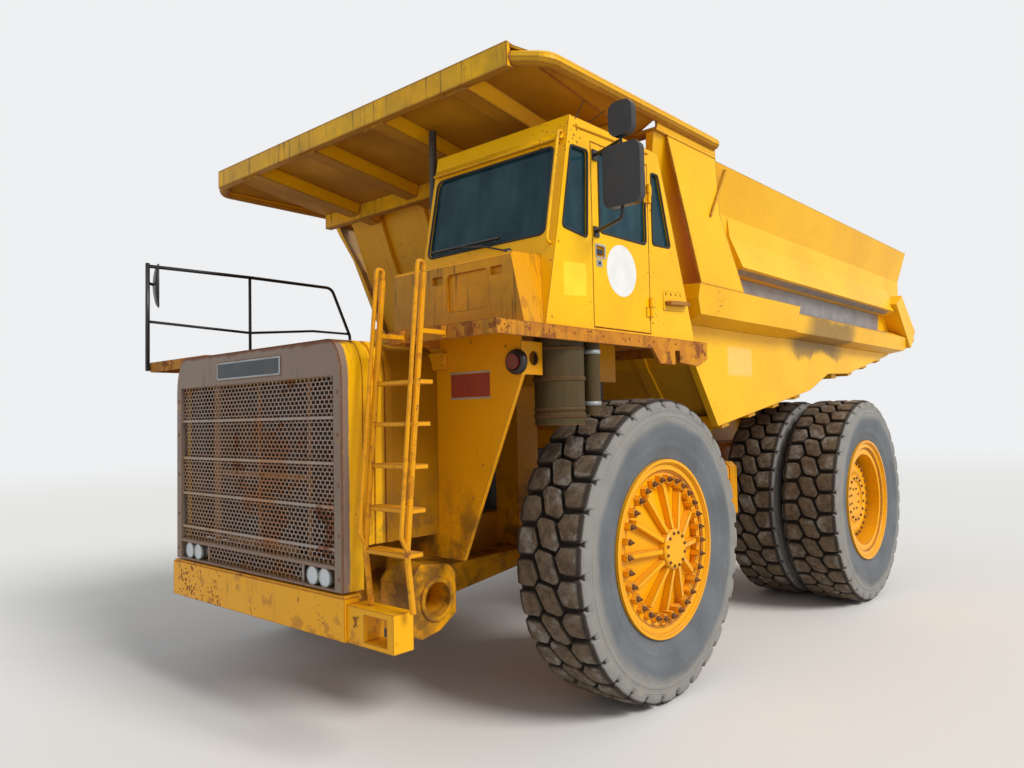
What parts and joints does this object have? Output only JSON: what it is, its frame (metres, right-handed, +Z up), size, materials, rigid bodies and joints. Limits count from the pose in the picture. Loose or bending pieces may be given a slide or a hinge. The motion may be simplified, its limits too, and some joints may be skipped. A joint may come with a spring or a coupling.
{
  "type": "rigid-frame off-highway dump truck",
  "caption": "Rigid-frame haul truck with a canopy dump body on a rear pivot, side-mounted cab, barred nose grille, steered front wheels and twin rear wheels.",
  "frame": {"origin": "centre of the bounding box, on the ground", "axes": "-Y towards the front of the truck, +X towards its left (cab) side, +Z up"},
  "size_m": [5.6421, 9.95, 5.043],
  "materials": {
    "body_yellow": "chalky gloss with rust at edges",
    "frame_yellow": "dusty gloss",
    "bumper_yellow": "chipped, with rust spots",
    "oily_yellow": "oily and dusty",
    "shell_grey": "worn, grey brown",
    "mesh_grey": "worn, with rust",
    "core_black": "matt",
    "engine_grey": "oily",
    "deck_rust": "rusty, paint worn away",
    "tube_black": "satin",
    "glass": "tinted",
    "seat": "woven",
    "lamp": "clear lens",
    "red_lamp": "dusty red lens in a dark housing",
    "strut_black": "oily",
    "bright_rod": "bright",
    "tyre": "dusty",
    "rim_yellow": "glossy orange yellow"
  },
  "bodies": {
    "chassis": {"frame_rails": "frame_yellow", "bumper": "bumper_yellow", "front_crossmember": "frame_yellow", "front_arms": "oily_yellow", "front_struts": "strut_black", "front_fenders": "body_yellow", "radiator_shell": "shell_grey", "grille_mesh": "mesh_grey", "radiator": "core_black", "hood": "body_yellow", "engine_block": "engine_grey", "air_cleaner": "oily_yellow", "vent_pipe": "strut_black", "deck_left": "deck_rust", "deck_right": "deck_rust", "ladder": "body_yellow", "guard_rail": "tube_black", "cab_shell": "body_yellow", "cab_glass": "glass", "cab_seat": "seat", "cab_controls": "seat", "cab_locker": "body_yellow", "head_lamps": "lamp", "side_lamps": "red_lamp", "side_tanks": "frame_yellow", "rear_axle": "oily_yellow", "rear_struts": "strut_black"},
    "knuckle_left": {"knuckle_left": "oily_yellow"},
    "knuckle_right": {"knuckle_right": "oily_yellow"},
    "wheel_front_left": {"tyre_front_left": "tyre", "rim_front_left": "rim_yellow"},
    "wheel_front_right": {"tyre_front_right": "tyre", "rim_front_right": "rim_yellow"},
    "wheels_rear_left": {"tyres_rear_left": "tyre", "rims_rear_left": "rim_yellow"},
    "wheels_rear_right": {"tyres_rear_right": "tyre", "rims_rear_right": "rim_yellow"},
    "door": {"door_panel": "body_yellow", "door_glass": "glass", "mirrors_left": "tube_black"},
    "dump_body": {"bed_floor": "body_yellow", "bed_side_left": "body_yellow", "bed_side_right": "body_yellow", "bed_front_wall": "body_yellow", "bed_canopy": "body_yellow"},
    "hoist_barrel_left": {"hoist_barrel_left": "strut_black"},
    "hoist_sleeve_left": {"hoist_sleeve_left": "bright_rod"},
    "hoist_rod_left": {"hoist_rod_left": "bright_rod"},
    "hoist_barrel_right": {"hoist_barrel_right": "strut_black"},
    "hoist_sleeve_right": {"hoist_sleeve_right": "bright_rod"},
    "hoist_rod_right": {"hoist_rod_right": "bright_rod"}
  },
  "joints": [
    {"name": "steer_left", "type": "hinge", "parent": "chassis", "child": "knuckle_left", "pos_m": [1.6, -2.52, 1.245], "axis": [0, 0, 1], "range_deg": [-36, 36]},
    {"name": "steer_right", "type": "hinge", "parent": "chassis", "child": "knuckle_right", "pos_m": [-1.6, -2.52, 1.245], "axis": [0, 0, 1], "range_deg": [-36, 36]},
    {"name": "spin_front_left", "type": "hinge", "parent": "knuckle_left", "child": "wheel_front_left", "pos_m": [2.047, -2.52, 1.245], "axis": [1, 0, 0], "continuous": true},
    {"name": "spin_front_right", "type": "hinge", "parent": "knuckle_right", "child": "wheel_front_right", "pos_m": [-2.047, -2.52, 1.245], "axis": [1, 0, 0], "continuous": true},
    {"name": "spin_rear_left", "type": "hinge", "parent": "chassis", "child": "wheels_rear_left", "pos_m": [1.829, 2.04, 1.245], "axis": [1, 0, 0], "continuous": true},
    {"name": "spin_rear_right", "type": "hinge", "parent": "chassis", "child": "wheels_rear_right", "pos_m": [-1.829, 2.04, 1.245], "axis": [1, 0, 0], "continuous": true},
    {"name": "door_swing", "type": "hinge", "parent": "chassis", "child": "door", "pos_m": [2.318, -2.636, 3.7], "axis": [0, 0, 1], "range_deg": [0, 75]},
    {"name": "body_tip", "type": "hinge", "parent": "chassis", "child": "dump_body", "pos_m": [0, 3.18, 1.74], "axis": [-1, 0, 0], "range_deg": [0, 52]},
    {"name": "hoist_lean_left", "type": "hinge", "parent": "chassis", "child": "hoist_barrel_left", "pos_m": [0.76, 1.1, 1], "axis": [-1, 0, 0], "range_deg": [-1, 27.75]},
    {"name": "hoist_stage_left", "type": "slide", "parent": "hoist_barrel_left", "child": "hoist_sleeve_left", "axis": [0, -0.083, 0.9965], "range_m": [0, 0.9022]},
    {"name": "hoist_rod_left", "type": "slide", "parent": "hoist_sleeve_left", "child": "hoist_rod_left", "axis": [0, -0.083, 0.9965], "range_m": [0, 0.9022]},
    {"name": "hoist_lean_right", "type": "hinge", "parent": "chassis", "child": "hoist_barrel_right", "pos_m": [-0.76, 1.1, 1], "axis": [-1, 0, 0], "range_deg": [-1, 27.75]},
    {"name": "hoist_stage_right", "type": "slide", "parent": "hoist_barrel_right", "child": "hoist_sleeve_right", "axis": [0, -0.083, 0.9965], "range_m": [0, 0.9022]},
    {"name": "hoist_rod_right", "type": "slide", "parent": "hoist_sleeve_right", "child": "hoist_rod_right", "axis": [0, -0.083, 0.9965], "range_m": [0, 0.9022]}
  ],
  "couplings": [
    {"joint": "steer_right", "follows": "steer_left", "ratio": 1},
    {"joint": "hoist_lean_left", "follows": "body_tip", "ratio": 0.51452},
    {"joint": "hoist_stage_left", "follows": "body_tip", "m_per_rad": 0.99301},
    {"joint": "hoist_rod_left", "follows": "body_tip", "m_per_rad": 0.99301},
    {"joint": "hoist_lean_right", "follows": "body_tip", "ratio": 0.51452},
    {"joint": "hoist_stage_right", "follows": "body_tip", "m_per_rad": 0.99301},
    {"joint": "hoist_rod_right", "follows": "body_tip", "m_per_rad": 0.99301}
  ]
}
